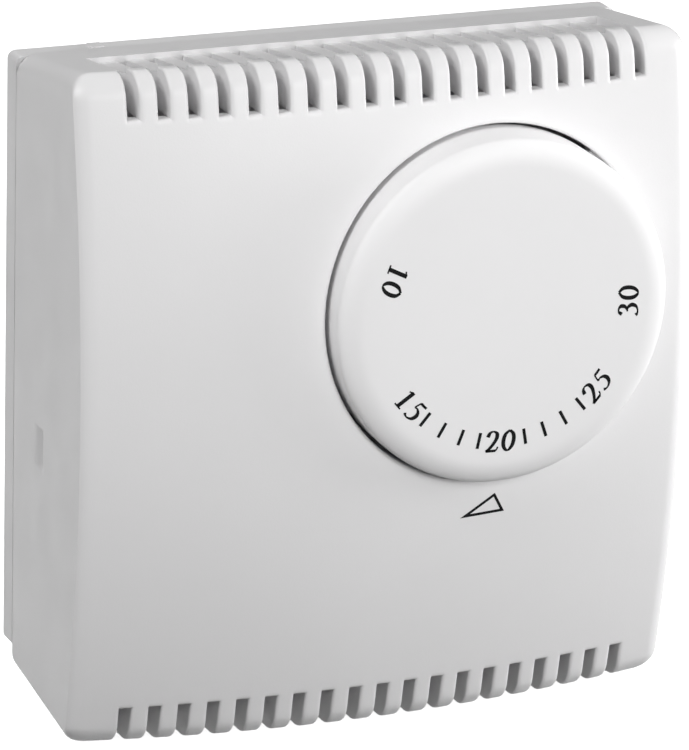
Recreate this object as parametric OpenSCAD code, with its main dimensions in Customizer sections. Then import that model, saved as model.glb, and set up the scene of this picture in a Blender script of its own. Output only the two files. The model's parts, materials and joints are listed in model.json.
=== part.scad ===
// Wall thermostat: a clip-on vented cover with a setting dial over a base plate that
// carries a gas capsule, a sensing lever, a changeover switch and a terminal block.
// Millimetres. Each sub-part is drawn lying down: x is to the right, y is up the wall
// and z is out of the wall. stand() then turns it so that Z is up and the front faces -Y.

/* [Case] */
// Width across the cover
case_w = 74.4; // [70:0.1:90]
// Height of the cover at its front edge
case_h = 80; // [74:0.5:92]
// Height of the cover at its rear edge
rear_h = 74.8; // [70:0.1:86]
// How far the middle of the cover's face stands out of the wall
crown_out = 29.6; // [28:0.1:32]
// Radius of the ball that the cover's face is part of
crown_r = 194; // [150:1:300]
// Thickness of the cover's front wall
front_t = 1.8; // [1.2:0.1:2.4]
// Thickness of the cover's side walls
side_t = 2; // [1.5:0.1:2.5]

/* [Vents] */
// Slots in each row
slot_count = 19; // [9:2:19]
// Distance from slot to slot
slot_pitch = 3.42; // [3:0.01:3.6]
// Width of a slot
slot_w = 1.35; // [1:0.05:1.8]
// How far from the case centre the slots start
slot_start = 34.8; // [33:0.1:36]
// Where the slots end towards the wall
slot_back = 10.1; // [8:0.1:14]

/* [Base] */
// Thickness of the base plate
base_t = 3; // [2.5:0.1:3.2]
// Top edge of the base plate
base_top = 37.1; // [36:0.1:37.4]
// Bottom edge of the base plate, below the centre
base_bottom = 34.3; // [33:0.1:36]
// Distance between the two wall screws
screw_spacing = 60; // [60:1:60]
// Width of a wall-screw slot
screw_slot_w = 4.2; // [3.5:0.1:5]
// Length of a wall-screw slot, end to end
screw_slot_len = 7; // [5:0.5:8]

/* [Dial] */
// Dial centre, to the right of the case centre
dial_x = 11.3; // [9:0.1:13]
// Dial centre, above the case centre
dial_y = 10.8; // [9:0.1:12]
// Radius of the dial
dial_r = 20.3; // [18:0.1:21]
// How far the dial's face stands out of the wall
dial_out = 32.3; // [31.8:0.1:34]
// Radius of the dial's rounded rim
dial_round = 3; // [2:0.1:3.5]

/* [Hidden] */

$fn = 48;
eps = 0.01;
rub = 0.05;            // radial clearance of a running fit
gap = 0.3;             // clearance between parts that pass each other

// colours
white_abs = [0.90, 0.90, 0.91];
grey_abs = [0.80, 0.80, 0.81];
black_abs = [0.12, 0.12, 0.13];
ivory_abs = [0.86, 0.84, 0.78];
steel = [0.62, 0.63, 0.65];
brass_c = [0.78, 0.62, 0.30];
copper_c = [0.75, 0.45, 0.30];
silver_c = [0.80, 0.80, 0.80];
tan_c = [0.72, 0.60, 0.42];

// cover
half_w = case_w / 2;
half_h = case_h / 2;
rear_z = base_t + 0.05;
crown_z = crown_out - crown_r;      // centre of the face ball
edge_r = 2;                         // rounding of the left and right front edges
edge_w = 1.73;                      // its width: it ends in a crease at the side wall
curl_r = 2.5;                       // rounding of the top and bottom front edges
corner_r = 2.2;
cavity_y = 35;                      // fins reach down to here
end_cavity_y = 36.8;                // cavity beside the rows of fins
end_cavity_x = 28.05;
top_slope = (half_h - rear_h / 2) / (23.4 - rear_z);
far_z = 31;                         // forward end of the tapered body, outside the face
pocket_depth = 0.6;
lip_t = 1.1;
slot_row_w = (slot_count - 1) * slot_pitch + slot_w;

// dial well in the cover
hole_gap = 0.45;
well_wall = 1.6;
well_z = 23.4;         // rear end of the well's wall
disc_r = 17.5;         // disc that the dial's hub turns in
disc_z = [24.4, 26.2];
spoke_w = 4;           // spokes that carry the disc, behind the dial's skirt
spoke_start = 12;
spoke_z = [well_z, disc_z[0] + 0.2];
hub_r = 5.2;

// latches in the left and right walls
latch_y = -6.6;
latch_z = 12.5;
window_h = 5.1;
window_w = 1.5;
groove_t = 1.45;        // depth of the groove that leads a tooth to its window

// base
inner_x = half_w - side_t;
rim_t = 1.2;
rim_h = 2.2;
cable_w = 15;
cable_h = 10;
cable_y = -16.5;

// setting spindle and its spring, all on the dial's axis
spindle_r = 3;
flat_cut = 0.8;
bridge_z = 21;
sheet_t = 1.2;
seat_z = 16.9;
seat_t = 2;
thread_r = 2.4;
thread_end_z = 15.6;
bush_r = 4;

// lever
lever_z = 11.4;
lever_t = 1.2;
lever_w = 8;
pivot_x = -9;
pivot_z = lever_z + lever_t / 2;
pin_r = 1;
knuckle_r = 2;
tail_x = -25;
ear_y = [dial_y - 6.1, dial_y + 6.1];
ear_t = 1;

// capsule: the rear shell's outline as radius and height, mirrored for the front shell
capsule_r = 14.5;
capsule_mid_z = 7.6;
shell_t = 0.4;
shell_path = [[0, 4.7], [4, 4.7], [6, 5.5], [7.5, 4.9], [9, 5.9], [10.5, 5.4], [12, 6.7],
  [13, 7.2], [capsule_r, 7.2]];

// switch
switch_x = [-33.2, -17];
switch_y = [dial_y - 5.5, dial_y + 5.5];
switch_wall = 1.2;
switch_z = [base_t + 0.2, 8.8];
lid_t = 1;
plunger_r = 1;
blade_z = 6.4;
blade_t = 0.3;
contact_x = -19.8;
contact_r = 1;
rivet_r = 0.55;

// bus bars: where each strip runs down and the terminal it reaches
bus_x = [-24.6, -21.6, -18.95];
bus_w = [1.8, 1.4, 1.1];
bus_turn_y = [-29.8, -27.6, -25.4];
bus_z = 4.45;
bus_t = 0.6;

// terminal block
way_pitch = 9;
way_x = [-1.5 * way_pitch, -0.5 * way_pitch, 0.5 * way_pitch, 1.5 * way_pitch];
block_y = [-32.3, -23.6];
block_z = 13;
clamp_y = -27.9;
clamp_s = 6;
clamp_z = [5.15, 10.6];
block_screw_x = 9;
block_screw_y = -30.6;

// turns a sub-part drawn lying down so that it stands against the wall
module stand() {
  rotate([90, 0, 0]) children();
}

// a box given by its low and high corners
module span(low, high) {
  translate(low) cube(high - low);
}

// a round bar along z
module post(r, z1, z2) {
  translate([0, 0, z1]) cylinder(r = r, h = z2 - z1);
}

// moves sub-parts onto the dial's axis
module on_dial() {
  translate([dial_x, dial_y, 0]) children();
}

// a cross-headed screw pointing into the wall, its head resting at height z
module screw(r, head_r, head_h, length, z) {
  difference() {
    union() {
      post(r, z - length, z + eps);
      post(head_r, z, z + head_h);
    }
    for (a = [0, 90]) {
      rotate([0, 0, a]) translate([-head_r * 0.6, -0.3, z + head_h * 0.5])
        cube([head_r * 1.2, 0.6, head_h]);
    }
  }
}

// a slab with rounded corners
module slab(w, h, t, r) {
  for (x = [-1, 1], y = [-1, 1]) {
    translate([x * (w / 2 - r), y * (h / 2 - r), 0]) cylinder(r = r, h = t, $fn = 32);
  }
}

// the cover's tapered body, from its rear edge out past the face
module tapered_body() {
  hull() {
    translate([0, 0, rear_z]) slab(case_w, rear_h, eps, corner_r);
    translate([0, 0, far_z]) slab(case_w, rear_h + 2 * top_slope * (far_z - rear_z), eps, corner_r);
  }
}

// a disc-like solid about the x axis through the ball's centre: rounds the left and right
// front edges
module side_limit() {
  centre_x = half_w - edge_w;
  centre_r = sqrt(pow(crown_r - edge_r + 0.02, 2) - pow(centre_x, 2));
  tangent_x = centre_x * (1 + edge_r / (crown_r - edge_r));
  translate([0, 0, crown_z]) rotate([0, 90, 0]) rotate_extrude($fn = 96)
    union() {
      translate([0, -half_w]) square([centre_r, case_w]);
      translate([0, -tangent_x]) square([crown_r + 4, 2 * tangent_x]);
      for (s = [-1, 1]) {
        intersection() {
          translate([centre_r, s * centre_x]) circle(r = edge_r);
          translate([crown_r / 2, -half_w - 1]) square([crown_r, case_w + 2]);
        }
      }
    }
}

// the same about the y axis: rounds the top and bottom front edges
module end_limit() {
  centre_y = half_h - curl_r;
  centre_r = sqrt(pow(crown_r - curl_r + 0.02, 2) - pow(centre_y, 2));
  tangent_y = centre_y * (1 + curl_r / (crown_r - curl_r));
  translate([0, 0, crown_z]) rotate([-90, 0, 0]) rotate_extrude($fn = 96)
    union() {
      translate([0, -half_h]) square([centre_r, case_h]);
      translate([0, -tangent_y]) square([crown_r + 4, 2 * tangent_y]);
      for (s = [-1, 1]) {
        intersection() {
          translate([centre_r, s * centre_y]) circle(r = curl_r);
          translate([crown_r / 2, -half_h - 1]) square([crown_r, case_h + 2]);
        }
      }
    }
}

// the outside of the cover
module cover_outside() {
  intersection() {
    tapered_body();
    translate([0, 0, crown_z]) sphere(r = crown_r, $fn = 128);
    side_limit();
    end_limit();
  }
}

// the space inside the cover; its ends are lower where the fins stand
module cover_inside() {
  intersection() {
    union() {
      span([-inner_x, -cavity_y, -1], [inner_x, cavity_y, far_z]);
      for (s = [-1, 1]) {
        span([s > 0 ? end_cavity_x : -inner_x, -end_cavity_y, slot_back],
          [s > 0 ? inner_x : -end_cavity_x, end_cavity_y, far_z]);
      }
    }
    translate([0, 0, crown_z]) sphere(r = crown_r - front_t, $fn = 128);
  }
}

// one row of vent slots with the shallow pocket they stand in, at the top
module vent_row() {
  for (i = [0 : slot_count - 1]) {
    x = (i - (slot_count - 1) / 2) * slot_pitch;
    span([x - slot_w / 2, slot_start, slot_back], [x + slot_w / 2, half_h + 2, far_z]);
  }
  front_z = crown_out - pow(half_h, 2) / (2 * crown_r) - curl_r - lip_t;
  floor_back = rear_h / 2 + top_slope * (slot_back - rear_z) - pocket_depth;
  floor_front = rear_h / 2 + top_slope * (front_z - 2 - rear_z) - pocket_depth;
  translate([slot_row_w / 2, 0, 0]) rotate([0, -90, 0]) linear_extrude(height = slot_row_w)
    polygon([[slot_back, floor_back], [front_z - 2, floor_front], [front_z - 2, half_h + 2],
      [slot_back, half_h + 2]]);
}

// the cover's side openings: a round-ended window and the groove that leads to it
module latch_cuts() {
  for (s = [-1, 1]) {
    translate([s * half_w, latch_y, latch_z]) rotate([0, 90, 0]) {
      for (e = [-1, 1]) {
        translate([0, e * (window_h - window_w) / 2, -side_t - 1])
          cylinder(r = window_w / 2, h = side_t + 2, $fn = 32);
      }
      translate([-window_w / 2, -(window_h - window_w) / 2, -side_t - 1])
        cube([window_w, window_h - window_w, side_t + 2]);
    }
    groove_x = s * (inner_x + groove_t);
    span([min(s * (inner_x - 1), groove_x), latch_y - window_h / 2, 0],
      [max(s * (inner_x - 1), groove_x), latch_y + window_h / 2, latch_z + window_w / 2]);
  }
}

module front_cover() {
  color(white_abs) stand() difference() {
    union() {
      difference() {
        cover_outside();
        cover_inside();
      }
      intersection() {
        on_dial() post(dial_r + hole_gap + well_wall, well_z, far_z);
        translate([0, 0, crown_z]) sphere(r = crown_r - front_t / 2, $fn = 128);
      }
    }
    on_dial() difference() {
      post(dial_r + hole_gap, 0, far_z);
      post(disc_r, disc_z[0], disc_z[1]);
      for (a = [45 : 90 : 315]) {
        rotate([0, 0, a])
          span([spoke_start, -spoke_w / 2, 0], [dial_r + 2, spoke_w / 2, spoke_z[1]]);
      }
    }
    on_dial() post(hub_r + rub, 0, far_z);
    vent_row();
    mirror([0, 1, 0]) vent_row();
    latch_cuts();
  }
}

// the dial's cross-section without its hub: a shallow cup with a rounded rim
module dial_cup() {
  skirt_z = spoke_z[1] + gap;
  wall = 1.7;
  difference() {
    union() {
      square([dial_r - dial_round, dial_out]);
      square([dial_r, dial_out - dial_round]);
      translate([dial_r - dial_round, dial_out - dial_round]) circle(r = dial_round);
    }
    translate([-1, 0]) square([dial_r + 2, skirt_z]);
    translate([-1, 0]) square([dial_r - wall + 1, dial_out - dial_round]);
    translate([-1, 0]) square([dial_r - dial_round + 1, dial_out - wall]);
    translate([-dial_r, 0]) square([dial_r, dial_out + 1]);
  }
}

module dial() {
  hub_end = 22.75;
  groove = [23.35, 24.25];
  color(white_abs) stand() on_dial() difference() {
    union() {
      rotate_extrude($fn = 96) dial_cup();
      post(hub_r, hub_end, dial_out - 1);
      post(hub_r + 1.8, disc_z[1] + 0.1, dial_out - 1);
      for (a = [45 : 90 : 315]) {
        rotate([0, 0, a]) span([hub_r - 0.5, -0.5, 28], [dial_r - 2, 0.5, dial_out - 1]);
      }
    }
    difference() {
      post(spindle_r + rub, 0, 28);
      span([-5, spindle_r - flat_cut + rub, -1], [5, 5, 29]);
    }
    difference() {
      post(hub_r + 1, groove[0], groove[1]);
      post(hub_r - 0.6, 0, 30);
    }
  }
}

module dial_retaining_ring() {
  color(steel) stand() on_dial() difference() {
    post(6.6, 23.4, 24.2);
    post(hub_r - 0.55, 20, 30);
    span([-1.6, 0, 20], [1.6, 8, 30]);
  }
}

// rectangle ring of the base, standing just inside the cover
module base_rim() {
  x = inner_x - 0.35;
  low = -base_bottom + 0.5;
  high = cavity_y - 0.35;
  difference() {
    span([-x, low, base_t - eps], [x, high, base_t + rim_h]);
    span([-x + rim_t, low + rim_t, 0], [x - rim_t, high - rim_t, 10]);
    span([-half_w, latch_y - 3.2, 0], [half_w, latch_y + 3.2, 10]);
  }
}

// spring arm and tooth that hold the cover, on the right; mirrored for the left
module latch_arm() {
  arm_x = inner_x - gap;
  arm_h = window_h - 0.8;
  tip_x = inner_x + groove_t - 0.1;
  tooth_w = window_w / 2 - 0.1;
  span([arm_x - rim_t, latch_y - arm_h / 2, base_t - eps],
    [arm_x, latch_y + arm_h / 2, latch_z + 1.4]);
  translate([0, latch_y + arm_h / 2, 0]) rotate([90, 0, 0]) linear_extrude(height = arm_h)
    polygon([[arm_x - eps, latch_z - tooth_w], [tip_x, latch_z - tooth_w], [tip_x, latch_z - 0.3],
      [tip_x - 0.8, latch_z + tooth_w], [arm_x - eps, latch_z + tooth_w]]);
}

module base_plate() {
  plate_h = base_top + base_bottom;
  color(white_abs) stand() difference() {
    union() {
      translate([0, (base_top - base_bottom) / 2, 0]) hull() slab(case_w, plate_h, base_t, 0.9);
      base_rim();
      latch_arm();
      mirror([1, 0, 0]) latch_arm();
      on_dial() post(5, base_t - eps, 4.6);
      span([-28, base_top - 1, 0.6], [-26.4, base_top + 0.25, 2.4]);
    }
    for (s = [-1, 1]) {
      translate([s * screw_spacing / 2, 0, -1]) {
        for (e = [-1, 1]) {
          translate([e * (screw_slot_len - screw_slot_w) / 2, 0, 0])
            cylinder(r = screw_slot_w / 2, h = base_t + 2);
        }
        translate([-(screw_slot_len - screw_slot_w) / 2, -screw_slot_w / 2, 0])
          cube([screw_slot_len - screw_slot_w, screw_slot_w, base_t + 2]);
      }
    }
    span([-cable_w / 2, cable_y - cable_h / 2, -1], [cable_w / 2, cable_y + cable_h / 2, base_t + 1]);
    bracket_screw_places() post(1.45, 0.5, base_t + 1);
    for (s = [-1, 1]) {
      translate([s * block_screw_x, block_screw_y, 0]) post(0.95, 0.5, base_t + 1);
    }
  }
}

// copies its child to the two bracket screws
module bracket_screw_places() {
  translate([dial_x, dial_y - 18.8, 0]) children();
  translate([dial_x, dial_y + 18.8, 0]) children();
}

// steel strap that bridges the capsule, with an arm and ears for the lever's pin
module mechanism_bracket() {
  leg = 15;
  strap_w = 10;
  color(steel) stand() difference() {
    union() {
      for (s = [-1, 1]) {
        on_dial() mirror([0, s > 0 ? 0 : 1, 0]) {
          span([-strap_w / 2, leg, base_t], [strap_w / 2, leg + sheet_t, bridge_z + sheet_t]);
          span([-strap_w / 2, leg, base_t], [strap_w / 2, leg + 6.4, base_t + sheet_t]);
          for (x = [-6.6, 5.6]) {
            span([x, 1.5, 15.8], [x + 1, 2.5, bridge_z + eps]);
          }
        }
      }
      on_dial() span([-strap_w / 2 - 2.2, -4.5, bridge_z], [strap_w / 2 + 2.2, 4.5, bridge_z + sheet_t]);
      on_dial() span([-strap_w / 2, -leg, bridge_z], [strap_w / 2, leg + eps, bridge_z + sheet_t]);
      span([pivot_x - 2, ear_y[0] - ear_t / 2, bridge_z],
        [dial_x, ear_y[1] + ear_t / 2, bridge_z + sheet_t]);
      for (y = ear_y) {
        span([pivot_x - 2, y - ear_t / 2, pivot_z - 2.2], [pivot_x + 2, y + ear_t / 2, bridge_z + eps]);
      }
    }
    on_dial() post(bush_r + rub, 10, 30);
    bracket_screw_places() post(1.5, 0, 10);
    translate([pivot_x, 0, pivot_z]) rotate([90, 0, 0]) cylinder(r = pin_r, h = 60, center = true);
  }
}

module bracket_screws() {
  color(steel) stand() bracket_screw_places()
    screw(1.4, 2.6, 1.6, base_t + sheet_t - 0.7, base_t + sheet_t);
}

module spindle_bush() {
  color(brass_c) stand() on_dial() difference() {
    union() {
      post(bush_r, bridge_z, bridge_z + sheet_t + eps);
      post(5, bridge_z + sheet_t, bridge_z + sheet_t + 0.3);
    }
    post(spindle_r + rub, 10, 30);
  }
}

module setting_spindle() {
  color(ivory_abs) stand() on_dial() difference() {
    union() {
      post(thread_r, thread_end_z, 20.1);
      post(4.4, 20, 20.9);
      post(spindle_r, 20.8, 27.4);
    }
    span([-5, spindle_r - flat_cut, 22.7], [5, 5, 28]);
  }
}

module spring_seat() {
  color(brass_c) stand() on_dial() difference() {
    union() {
      post(4.8, seat_z, seat_z + seat_t);
      span([-6.4, -1.3, seat_z], [6.4, 1.3, seat_z + seat_t]);
    }
    post(thread_r + 0.07, 10, 30);
  }
}

// point on a helix ring: turn angle a, angle b round the wire
function coil_point(a, b, r, wire, low, high, turns) =
  let (z = low + wire + (high - low - 2 * wire) * a / (360 * turns))
  [(r + wire * cos(b)) * cos(a), (r + wire * cos(b)) * sin(a), z + wire * sin(b)];

// a closed coil of round wire between two heights
module coil(r, wire, low, high, turns) {
  sides = 10;
  steps = turns * 24;
  points = [for (i = [0 : steps], j = [0 : sides - 1])
    coil_point(360 * turns * i / steps, 360 * j / sides, r, wire, low, high, turns)];
  skin = [for (i = [0 : steps - 1], j = [0 : sides - 1])
    [i * sides + j, i * sides + (j + 1) % sides, (i + 1) * sides + (j + 1) % sides,
      (i + 1) * sides + j]];
  start = [for (j = [sides - 1 : -1 : 0]) j];
  finish = [for (j = [0 : sides - 1]) steps * sides + j];
  polyhedron(points = points, faces = concat(skin, [start, finish]));
}

module range_spring() {
  color(steel) stand() on_dial() coil(3.7, 0.4, lever_z + lever_t + 0.02, seat_z - 0.02, 4);
}

module sensing_lever() {
  color(steel) stand() difference() {
    union() {
      span([tail_x - 2.6, dial_y - 2.6, lever_z], [pivot_x, dial_y + 2.6, lever_z + lever_t]);
      span([pivot_x, dial_y - lever_w / 2, lever_z], [dial_x + 6, dial_y + lever_w / 2, lever_z + lever_t]);
      translate([pivot_x, dial_y + lever_w / 2, pivot_z]) rotate([90, 0, 0])
        cylinder(r = knuckle_r, h = lever_w);
      on_dial() post(2.9, lever_z + eps, lever_z + lever_t + 0.7);
    }
    translate([pivot_x, 0, pivot_z]) rotate([90, 0, 0])
      cylinder(r = pin_r + rub, h = 60, center = true);
    translate([tail_x, dial_y, 0]) post(1.3, 0, 20);
  }
}

module lever_pivot_pin() {
  color(steel) stand() translate([pivot_x, dial_y + 7, pivot_z]) rotate([90, 0, 0]) {
    cylinder(r = pin_r, h = 14);
    translate([0, 0, -0.8]) cylinder(r = 1.7, h = 0.8);
  }
}

module calibration_screw() {
  color(brass_c) stand() translate([tail_x, dial_y, 0]) difference() {
    union() {
      post(1.25, 10.95, 13.4);
      post(2.2, 13.2, 14.4);
    }
    span([-3, -0.3, 13.8], [3, 0.3, 15]);
  }
}

// a dished, ribbed metal disc
module capsule_shell() {
  far = [for (i = [len(shell_path) - 1 : -1 : 0]) shell_path[i] + [0, shell_t]];
  rotate_extrude($fn = 96) polygon(concat(shell_path, far));
}

module capsule_rear_shell() {
  color(copper_c) stand() on_dial() capsule_shell();
}

module capsule_front_shell() {
  color(copper_c) stand() on_dial() union() {
    translate([0, 0, 2 * capsule_mid_z]) mirror([0, 0, 1]) capsule_shell();
    post(1.8, 2 * capsule_mid_z - 4.7 - eps, lever_z - 0.1);
  }
}

module capsule_seal_tube() {
  color(copper_c) stand() on_dial() translate([0, -11.25, 0]) {
    post(0.7, 9.9, 12.2);
    span([-1.1, -0.25, 12.1], [1.1, 0.25, 13.6]);
  }
}

module switch_case() {
  color(black_abs) stand() difference() {
    span([switch_x[0], switch_y[0], switch_z[0]], [switch_x[1], switch_y[1], switch_z[1]]);
    span([switch_x[0] + switch_wall, switch_y[0] + switch_wall, switch_z[0] + switch_wall],
      [switch_x[1] - switch_wall, switch_y[1] - switch_wall, switch_z[1] + 1]);
    for (k = [0 : 2]) {
      span([bus_x[k] - bus_w[k] / 2 - 0.1, switch_y[0] - 1, bus_z - eps],
        [bus_x[k] + bus_w[k] / 2 + 0.1, switch_y[0] + 2, bus_z + bus_t + 0.1]);
    }
  }
}

module switch_lid() {
  color(grey_abs) stand() difference() {
    span([switch_x[0], switch_y[0], switch_z[1]], [switch_x[1], switch_y[1], switch_z[1] + lid_t]);
    translate([tail_x, dial_y, 0]) post(plunger_r + rub, 0, 20);
  }
}

module switch_plunger() {
  color(ivory_abs) stand() translate([tail_x, dial_y, 0]) {
    post(plunger_r, 7.4, 10.9);
    post(1.4, blade_z + blade_t + 0.1, 7.5);
  }
}

module snap_blade() {
  color(brass_c) stand() difference() {
    span([-31.9, dial_y - 1.5, blade_z], [contact_x + 1.3, dial_y + 1.5, blade_z + blade_t]);
    translate([contact_x, dial_y, 0]) post(rivet_r + rub, 0, 20);
  }
}

module moving_contact() {
  color(silver_c) stand() translate([contact_x, dial_y, 0]) {
    post(contact_r, blade_z - 0.45, blade_z);
    post(rivet_r, blade_z - eps, blade_z + blade_t + eps);
    post(contact_r, blade_z + blade_t, blade_z + blade_t + 0.45);
  }
}

module fixed_contacts() {
  color(silver_c) stand() translate([contact_x, dial_y, 0]) {
    post(contact_r, bus_z + bus_t, bus_z + bus_t + 0.22);
    post(contact_r, 7.85, 8.2);
  }
}

// one strip from the switch down the base, then across to its terminal
module bus_strip(k) {
  x = bus_x[k];
  w = bus_w[k];
  y_in = k == 2 ? switch_y[0] + 2.2 : dial_y;
  span([x - w / 2, bus_turn_y[k] - 0.7, bus_z], [x + w / 2, y_in, bus_z + bus_t]);
  span([x - w / 2, bus_turn_y[k] - 0.7, bus_z], [way_x[k], bus_turn_y[k] + 0.7, bus_z + bus_t]);
}

module bus_bars() {
  inside_x = switch_x[0] + switch_wall + 0.1;
  riser_y = switch_y[0] + 1.6;
  color(brass_c) stand() {
    union() {
      bus_strip(0);
      span([inside_x, dial_y - 1, bus_z], [bus_x[0] + bus_w[0] / 2, dial_y + 1, bus_z + bus_t]);
      span([inside_x, dial_y - 1, bus_z], [inside_x + 0.9, dial_y + 1, blade_z - 0.15]);
    }
    union() {
      bus_strip(1);
      span([bus_x[1] - bus_w[1] / 2, dial_y - 1, bus_z], [contact_x + 1, dial_y + 1, bus_z + bus_t]);
    }
    union() {
      bus_strip(2);
      span([bus_x[2] - bus_w[2] / 2, riser_y, bus_z], [bus_x[2] + bus_w[2] / 2, riser_y + 0.6, 8.6]);
      span([contact_x - 1, riser_y, 8.2], [bus_x[2] + bus_w[2] / 2, dial_y + 1, 8.6]);
    }
  }
}

module terminal_block() {
  half = 19.5;
  pocket = clamp_s / 2 + 0.1;
  color(ivory_abs) stand() difference() {
    span([-half, block_y[0], base_t], [half, block_y[1], block_z]);
    span([-half - 1, block_y[0] + 1.6, 0], [half - 2, block_y[1] + 1, bus_z + bus_t + 0.1]);
    for (x = way_x) {
      span([x - pocket, clamp_y - pocket, 0], [x + pocket, clamp_y + pocket, clamp_z[1] + 0.9]);
      translate([x, clamp_y, 0]) post(2.2, 0, 20);
      span([x - 1.8, clamp_y, 6], [x + 1.8, 0, 10]);
    }
    for (s = [-1, 1]) {
      translate([s * block_screw_x, block_screw_y, 0]) post(0.95, 0, 20);
    }
  }
}

module terminal_clamps() {
  color(brass_c) stand() for (x = way_x) {
    translate([x, clamp_y, 0]) difference() {
      span([-clamp_s / 2, -clamp_s / 2, clamp_z[0]], [clamp_s / 2, clamp_s / 2, clamp_z[1]]);
      span([-1.8, -10, 6], [1.8, 10, 9.4]);
      post(1.35, 8, 20);
    }
  }
}

module terminal_screws() {
  color(steel) stand() for (x = way_x) {
    translate([x, clamp_y, 0]) screw(1.3, 2, 1.5, 3, 10.9);
  }
}

module block_screws() {
  color(steel) stand() for (s = [-1, 1]) {
    translate([s * block_screw_x, block_screw_y, 0]) screw(0.9, 1.15, 0.8, block_z - 0.8, block_z);
  }
}

// the resistor's centre line and its leads' height
resistor_x = 24;
resistor_y = [-20, -12];
lead_z = 7;

module anticipator_resistor() {
  color(tan_c) stand() translate([resistor_x, resistor_y[1], lead_z]) rotate([90, 0, 0]) {
    cylinder(r = 1.4, h = resistor_y[1] - resistor_y[0]);
    for (z = [0, resistor_y[1] - resistor_y[0] - 1.4]) {
      translate([0, 0, z]) cylinder(r = 1.6, h = 1.4);
    }
  }
}

// a bent wire through a list of points in one plane
module wire(points) {
  lead_r = 0.3;
  for (i = [0 : len(points) - 2]) {
    a = points[i];
    b = points[i + 1];
    length = norm(b - a);
    translate([a[0], a[1], lead_z]) rotate([0, 0, atan2(b[1] - a[1], b[0] - a[0])])
      rotate([0, 90, 0]) cylinder(r = lead_r, h = length, $fn = 24);
    translate([b[0], b[1], lead_z]) sphere(r = lead_r, $fn = 24);
  }
}

module resistor_leads() {
  near_y = -22.1;
  far_y = -22.9;
  side_x = 26.8;
  top_y = -10.6;
  color(silver_c) stand() {
    wire([[resistor_x, resistor_y[0]], [resistor_x, near_y], [way_x[2], near_y], [way_x[2], clamp_y]]);
    wire([[resistor_x, resistor_y[1]], [resistor_x, top_y], [side_x, top_y], [side_x, far_y],
      [way_x[3], far_y], [way_x[3], clamp_y]]);
  }
}

base_plate();
front_cover();
dial();
dial_retaining_ring();
mechanism_bracket();
bracket_screws();
spindle_bush();
setting_spindle();
spring_seat();
range_spring();
sensing_lever();
lever_pivot_pin();
calibration_screw();
capsule_rear_shell();
capsule_front_shell();
capsule_seal_tube();
switch_case();
switch_lid();
switch_plunger();
snap_blade();
moving_contact();
fixed_contacts();
bus_bars();
terminal_block();
terminal_clamps();
terminal_screws();
block_screws();
anticipator_resistor();
resistor_leads();
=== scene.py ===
"""Looks of a wall thermostat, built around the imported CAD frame.

Positions come from the frame's boxes. Shapes are in millimetres until Shell.build, where MM turns them
into metres. Lights, camera and textures are in metres. "Out" is the distance from the wall plane towards
the room, which is -Y.
"""

import json
import math

import bmesh
import bpy
from mathutils import Matrix, Vector
from mathutils.geometry import tessellate_polygon


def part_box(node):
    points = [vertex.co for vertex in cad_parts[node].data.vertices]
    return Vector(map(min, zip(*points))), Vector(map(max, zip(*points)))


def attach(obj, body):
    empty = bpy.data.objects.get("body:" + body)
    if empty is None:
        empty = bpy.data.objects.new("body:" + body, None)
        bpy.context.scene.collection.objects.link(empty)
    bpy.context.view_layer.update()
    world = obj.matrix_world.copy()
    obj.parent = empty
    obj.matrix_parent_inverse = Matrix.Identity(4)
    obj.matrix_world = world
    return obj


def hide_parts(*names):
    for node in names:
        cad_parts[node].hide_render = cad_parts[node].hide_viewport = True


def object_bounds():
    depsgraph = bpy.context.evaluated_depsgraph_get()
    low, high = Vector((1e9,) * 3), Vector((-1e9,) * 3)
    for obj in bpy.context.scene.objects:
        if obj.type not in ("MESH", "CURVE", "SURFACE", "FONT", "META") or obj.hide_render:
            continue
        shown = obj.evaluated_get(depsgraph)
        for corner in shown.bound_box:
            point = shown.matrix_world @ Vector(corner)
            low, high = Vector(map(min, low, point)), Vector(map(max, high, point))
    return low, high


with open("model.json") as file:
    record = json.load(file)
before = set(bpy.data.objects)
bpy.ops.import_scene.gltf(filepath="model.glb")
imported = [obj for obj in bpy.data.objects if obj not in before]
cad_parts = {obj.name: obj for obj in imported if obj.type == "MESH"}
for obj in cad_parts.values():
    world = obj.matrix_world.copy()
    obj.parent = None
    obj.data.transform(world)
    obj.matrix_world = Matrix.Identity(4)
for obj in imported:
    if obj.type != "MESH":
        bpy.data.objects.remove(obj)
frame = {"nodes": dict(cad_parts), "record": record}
cad_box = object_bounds()
NODES = frame["nodes"]
MM = 0.001

# ---------------------------------------------------------------- sizes read from the frame


def node_box(name):
    """Lowest and highest corner of a CAD node in millimetres."""
    low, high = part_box(name)
    return [v / MM for v in low], [v / MM for v in high]


cover_low, cover_high = node_box("front_cover")
dial_low, dial_high = node_box("dial")

HALF_W = cover_high[0]
HALF_H = cover_high[2]
REAR = -cover_high[1]
CROWN = -cover_low[1]
DIAL_X = (dial_low[0] + dial_high[0]) / 2
DIAL_Z = (dial_low[2] + dial_high[2]) / 2
DIAL_R = (dial_high[0] - dial_low[0]) / 2
DIAL_OUT = -dial_low[1]

# ---------------------------------------------------------------- cover sizes that the boxes don't give

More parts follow.
